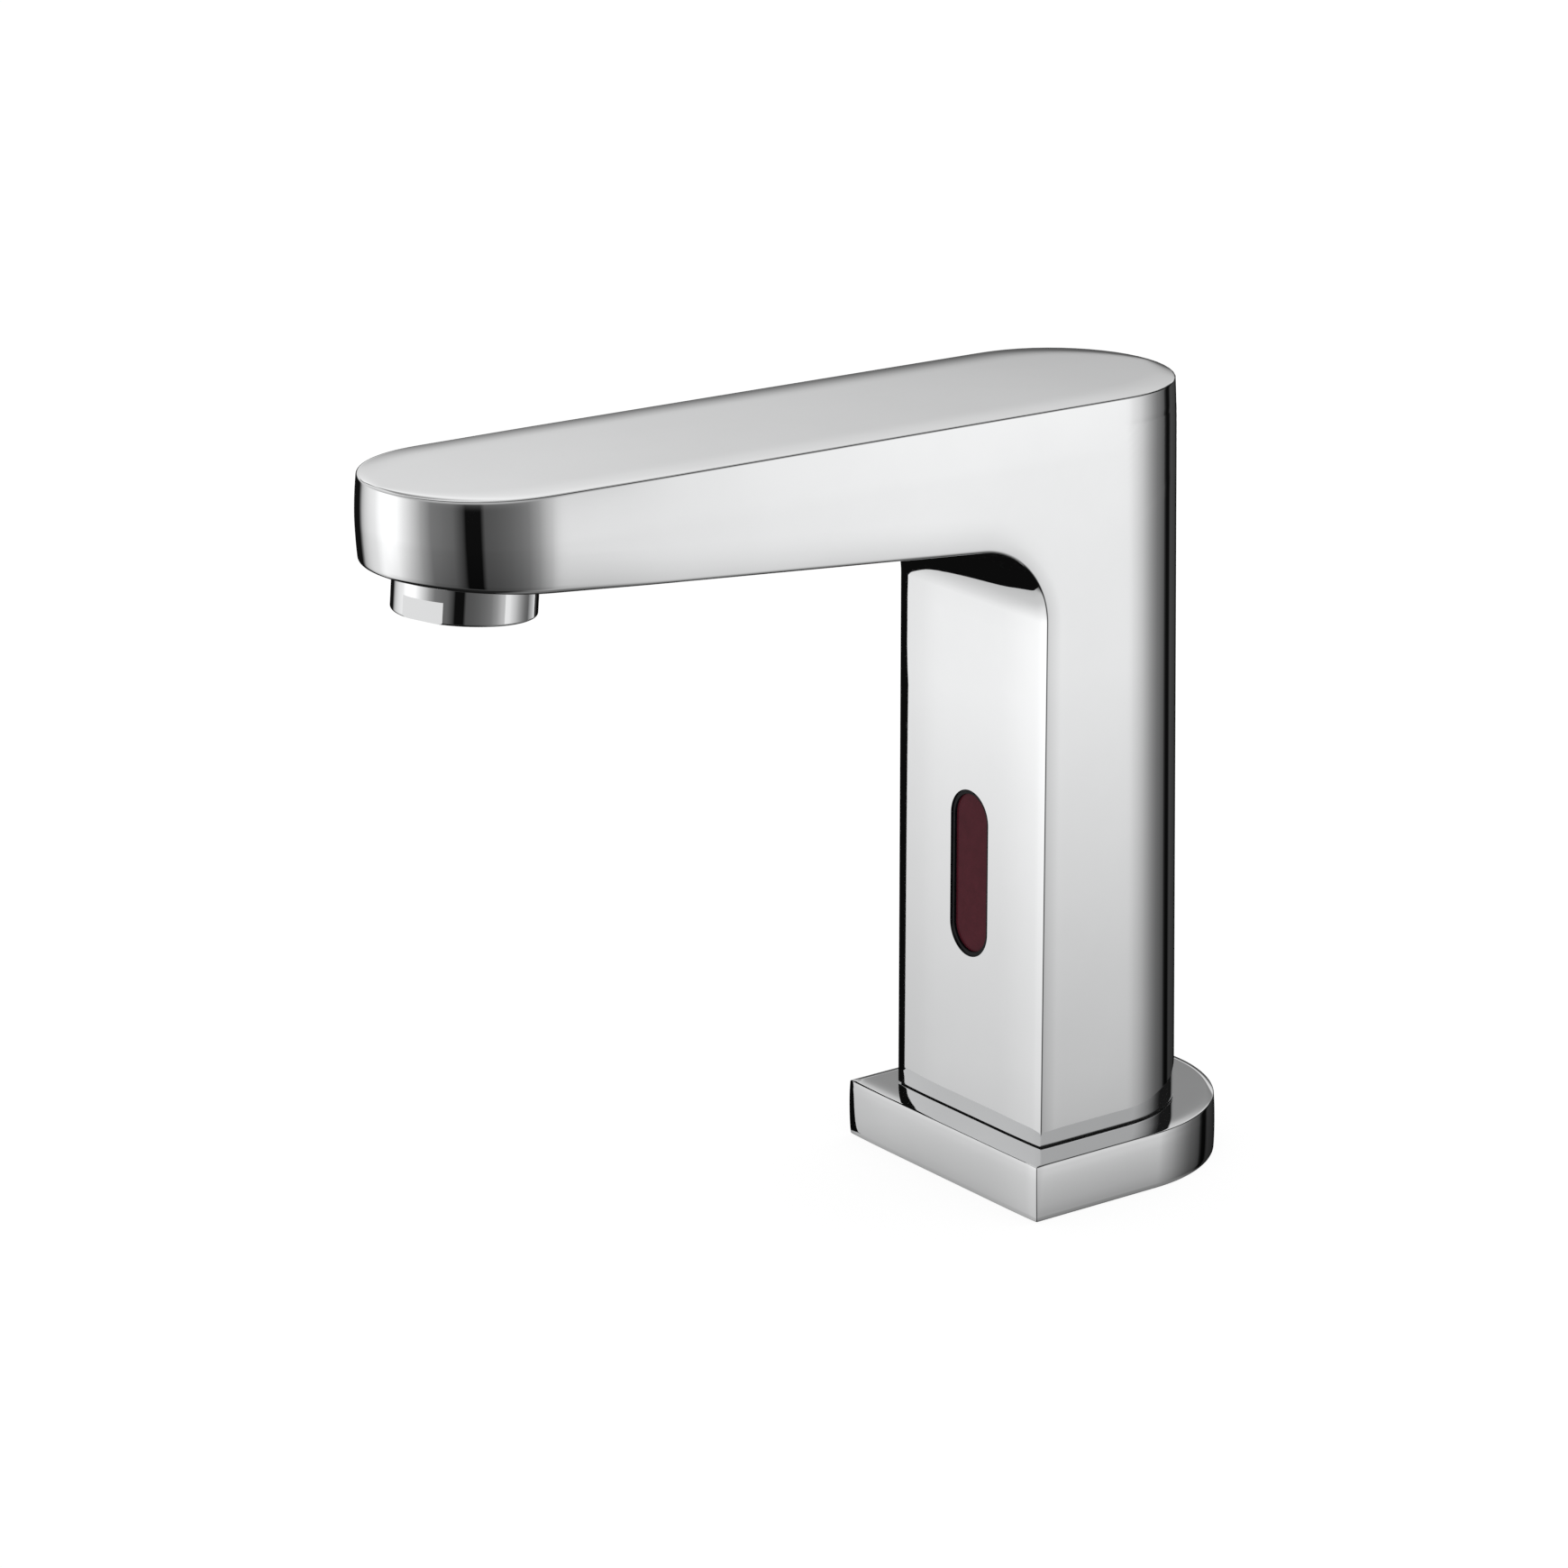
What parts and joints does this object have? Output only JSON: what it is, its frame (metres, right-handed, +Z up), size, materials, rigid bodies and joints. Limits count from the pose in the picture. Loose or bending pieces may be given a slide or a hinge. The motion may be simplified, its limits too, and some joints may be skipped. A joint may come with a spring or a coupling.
{
  "type": "sensor tap",
  "caption": "Touch-free deck-mounted basin tap: polished upright column on a small base plate, flat-topped spout with a round nose, aerator below it and an infrared window in the column.",
  "frame": {"origin": "axis of the mounting stud thread, in the plane of the deck (underside of the base plate)", "axes": "+Z up out of the deck, -Y along the spout towards the basin, +X to the right of a person who looks along +Y at the tap from the basin side"},
  "size_m": [0.0582, 0.1758, 0.153],
  "materials": {
    "chrome": "mirror-polished chromium plate on cast brass",
    "chrome_collar": "bright chromium plate",
    "brass": "machined brass",
    "stainless": "turned stainless steel",
    "zinc_steel": "zinc-plated steel",
    "black_plastic": "moulded black plastic",
    "ir_filter": "dark red infrared filter, polished",
    "clear_plastic": "clear lens",
    "board": "solder-masked circuit board",
    "black_rubber": "moulded rubber",
    "white_plastic": "acetal plastic",
    "grey_plastic": "glass-filled plastic",
    "coil_plastic": "encapsulated winding",
    "lead_sheath": "PVC-sheathed two-core lead"
  },
  "bodies": {
    "tap": {"tap_body": "chrome", "base_plate": "chrome", "base_gasket": "black_rubber", "body_seal": "black_rubber", "base_block": "brass", "body_screws": "stainless", "valve_mount_screws": "stainless", "cable_gland": "black_rubber", "inlet_strainer": "stainless", "check_valve_housing": "white_plastic", "check_valve_ring": "black_rubber", "check_valve_spring": "stainless", "valve_body": "grey_plastic", "valve_ring": "black_rubber", "diaphragm": "black_rubber", "valve_bonnet": "grey_plastic", "bonnet_screws": "stainless", "core_tube": "stainless", "pole_piece": "stainless", "plunger_spring": "stainless", "solenoid_coil": "coil_plastic", "coil_yoke": "zinc_steel", "coil_nut": "zinc_steel", "coil_lead": "lead_sheath", "outlet_tube": "stainless", "outlet_tube_rings": "black_rubber", "sensor_bezel": "black_plastic", "sensor_window": "ir_filter", "sensor_gasket": "black_rubber", "sensor_housing": "black_plastic", "sensor_board": "board", "ir_emitter": "clear_plastic", "ir_receiver": "black_plastic", "sensor_clip": "stainless"},
    "aerator_core": {"aerator_insert": "white_plastic", "aerator_screen": "stainless", "aerator_washer": "black_rubber"},
    "aerator_ring": {"aerator_collar": "chrome_collar"},
    "solenoid_plunger": {"plunger": "stainless", "plunger_seal": "black_rubber"},
    "main_valve_disc": {"diaphragm_disc": "white_plastic"},
    "check_poppet": {"check_valve_poppet": "white_plastic"}
  },
  "joints": [
    {"name": "aerator_travel", "type": "slide", "parent": "tap", "child": "aerator_core", "axis": [0, -0.0959, -0.9954], "range_m": [0, 0.0055]},
    {"name": "aerator_turn", "type": "hinge", "parent": "aerator_core", "child": "aerator_ring", "pos_m": [0, -0.1276, 0.13567], "axis": [0, -0.0959, -0.9954], "range_deg": [0, 1980]},
    {"name": "plunger_lift", "type": "slide", "parent": "tap", "child": "solenoid_plunger", "axis": [0, 0, 1], "range_m": [0, 0.0016], "stiffness_N_per_m": 250, "springref_m": -0.003, "deforming": ["plunger_spring"]},
    {"name": "disc_lift", "type": "slide", "parent": "tap", "child": "main_valve_disc", "axis": [0, 0, 1], "range_m": [0, 0.00128], "deforming": ["diaphragm"]},
    {"name": "poppet_lift", "type": "slide", "parent": "tap", "child": "check_poppet", "axis": [0, 0, 1], "range_m": [0, 0.0015], "stiffness_N_per_m": 20, "springref_m": -0.002, "deforming": ["check_valve_spring"]}
  ],
  "couplings": [
    {"joint": "aerator_travel", "follows": "aerator_turn", "m_per_rad": 0.00015915},
    {"joint": "disc_lift", "follows": "plunger_lift", "ratio": 0.8}
  ]
}
